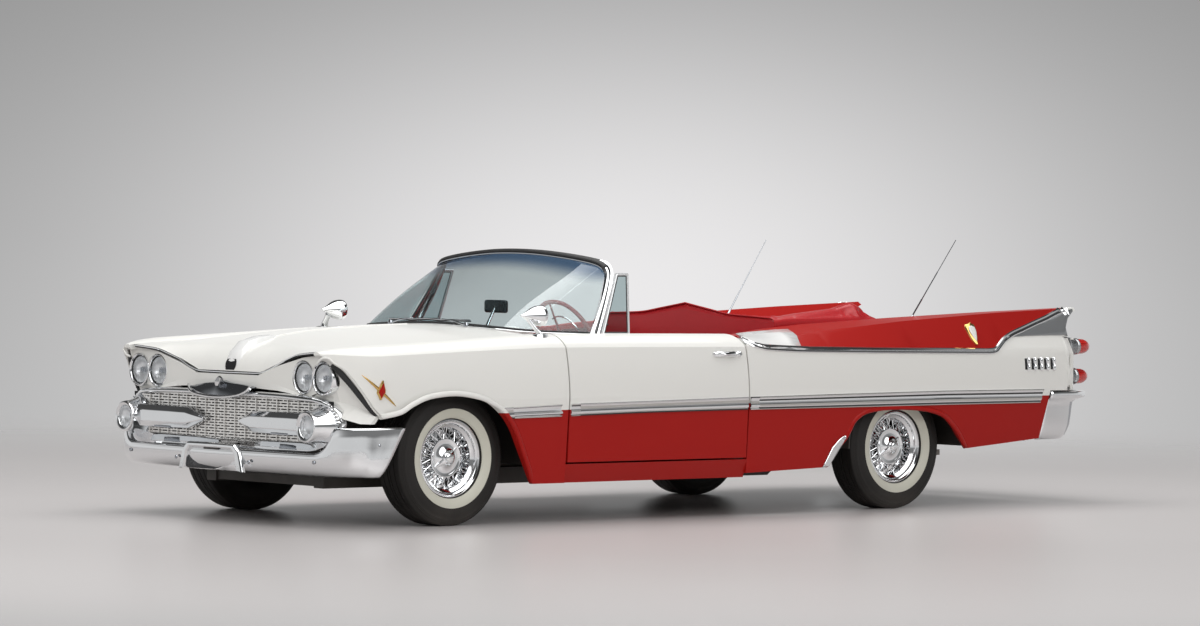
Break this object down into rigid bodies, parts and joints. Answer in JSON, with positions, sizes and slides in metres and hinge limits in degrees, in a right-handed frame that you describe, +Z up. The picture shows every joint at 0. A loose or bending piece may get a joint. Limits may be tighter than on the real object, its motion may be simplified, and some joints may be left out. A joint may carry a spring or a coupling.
{
  "type": "two-door convertible car",
  "caption": "Two-door convertible of the late 1950s with tail fins, opening doors, hood and trunk lid, steered front wheels and four turning wire wheels.",
  "frame": {"origin": "bottom centre of the whole car's box, on the ground between the axles", "axes": "+X rearward, +Y to the car's right, +Z up"},
  "size_m": [5.52, 1.9774, 1.4373],
  "materials": {
    "white_paint": "gloss",
    "red_paint": "gloss",
    "chrome": "polished",
    "lamp_glass": "clear",
    "red_lens": "gloss",
    "tinted_glass": "clear",
    "tyre_rubber": "matt",
    "red_vinyl": "satin",
    "dash_paint": "satin",
    "black_steel": "satin",
    "exhaust_steel": "satin",
    "cast_iron": "rough"
  },
  "bodies": {
    "body": {"front_left_fender": "white_paint", "front_right_fender": "white_paint", "headlamp_panel": "white_paint", "headlamps": "lamp_glass", "grille": "chrome", "grille_surround": "chrome", "front_bumper": "chrome", "windshield_frame": "chrome", "windshield_glass": "tinted_glass", "cowl": "white_paint", "dashboard": "dash_paint", "front_seat": "red_vinyl", "rear_seat": "red_vinyl", "boot_cover": "red_vinyl", "left_quarter": "white_paint", "right_quarter": "white_paint", "rockers": "red_paint", "tail_panel": "white_paint", "tail_lamps": "red_lens", "rear_bumper": "chrome", "floor_pan": "black_steel", "firewall": "black_steel", "wheel_housings": "black_steel", "frame_rails": "black_steel", "engine": "cast_iron", "front_suspension": "black_steel", "rear_axle": "black_steel", "exhaust": "exhaust_steel", "fuel_tank": "black_steel", "mirrors": "chrome", "antennas": "chrome"},
    "hood": {"hood": "white_paint"},
    "trunk_lid": {"trunk_lid": "red_paint"},
    "left_door": {"left_door": "white_paint", "left_vent_window": "chrome"},
    "right_door": {"right_door": "white_paint", "right_vent_window": "chrome"},
    "steering_wheel": {"steering_wheel": "dash_paint"},
    "left_knuckle": {"left_knuckle": "black_steel"},
    "right_knuckle": {"right_knuckle": "black_steel"},
    "front_left_wheel": {"front_left_tyre": "tyre_rubber", "front_left_wheel": "chrome"},
    "front_right_wheel": {"front_right_tyre": "tyre_rubber", "front_right_wheel": "chrome"},
    "rear_left_wheel": {"rear_left_tyre": "tyre_rubber", "rear_left_wheel": "chrome"},
    "rear_right_wheel": {"rear_right_tyre": "tyre_rubber", "rear_right_wheel": "chrome"}
  },
  "joints": [
    {"name": "hood_hinge", "type": "hinge", "parent": "body", "child": "hood", "pos_m": [-1.392, 0, 0.966], "axis": [0, 1, 0], "range_deg": [0, 45]},
    {"name": "trunk_hinge", "type": "hinge", "parent": "body", "child": "trunk_lid", "pos_m": [1.242, 0, 1.002], "axis": [0, -1, 0], "range_deg": [0, 60]},
    {"name": "left_door_hinge", "type": "hinge", "parent": "body", "child": "left_door", "pos_m": [-1.189, -0.956, 0.6], "axis": [0, 0, -1], "range_deg": [0, 65]},
    {"name": "right_door_hinge", "type": "hinge", "parent": "body", "child": "right_door", "pos_m": [-1.189, 0.956, 0.6], "axis": [0, 0, 1], "range_deg": [0, 65]},
    {"name": "left_steer", "type": "hinge", "parent": "body", "child": "left_knuckle", "pos_m": [-1.932, -0.65, 0.33], "axis": [0, 0, 1], "range_deg": [-30, 30]},
    {"name": "right_steer", "type": "hinge", "parent": "body", "child": "right_knuckle", "pos_m": [-1.932, 0.65, 0.33], "axis": [0, 0, 1], "range_deg": [-30, 30]},
    {"name": "steering_wheel_turn", "type": "hinge", "parent": "body", "child": "steering_wheel", "pos_m": [-0.77341, -0.38, 0.90383], "axis": [0.8998, 0, 0.4362], "range_deg": [-480, 480]},
    {"name": "front_left_spin", "type": "hinge", "parent": "left_knuckle", "child": "front_left_wheel", "pos_m": [-1.932, -0.7735, 0.33], "axis": [0, 1, 0], "continuous": true},
    {"name": "front_right_spin", "type": "hinge", "parent": "right_knuckle", "child": "front_right_wheel", "pos_m": [-1.932, 0.7735, 0.33], "axis": [0, 1, 0], "continuous": true},
    {"name": "rear_left_spin", "type": "hinge", "parent": "body", "child": "rear_left_wheel", "pos_m": [1.167, -0.7595, 0.33], "axis": [0, 1, 0], "continuous": true},
    {"name": "rear_right_spin", "type": "hinge", "parent": "body", "child": "rear_right_wheel", "pos_m": [1.167, 0.7595, 0.33], "axis": [0, 1, 0], "continuous": true}
  ],
  "couplings": [
    {"joint": "right_steer", "follows": "left_steer", "ratio": 1},
    {"joint": "steering_wheel_turn", "follows": "left_steer", "ratio": 16}
  ]
}
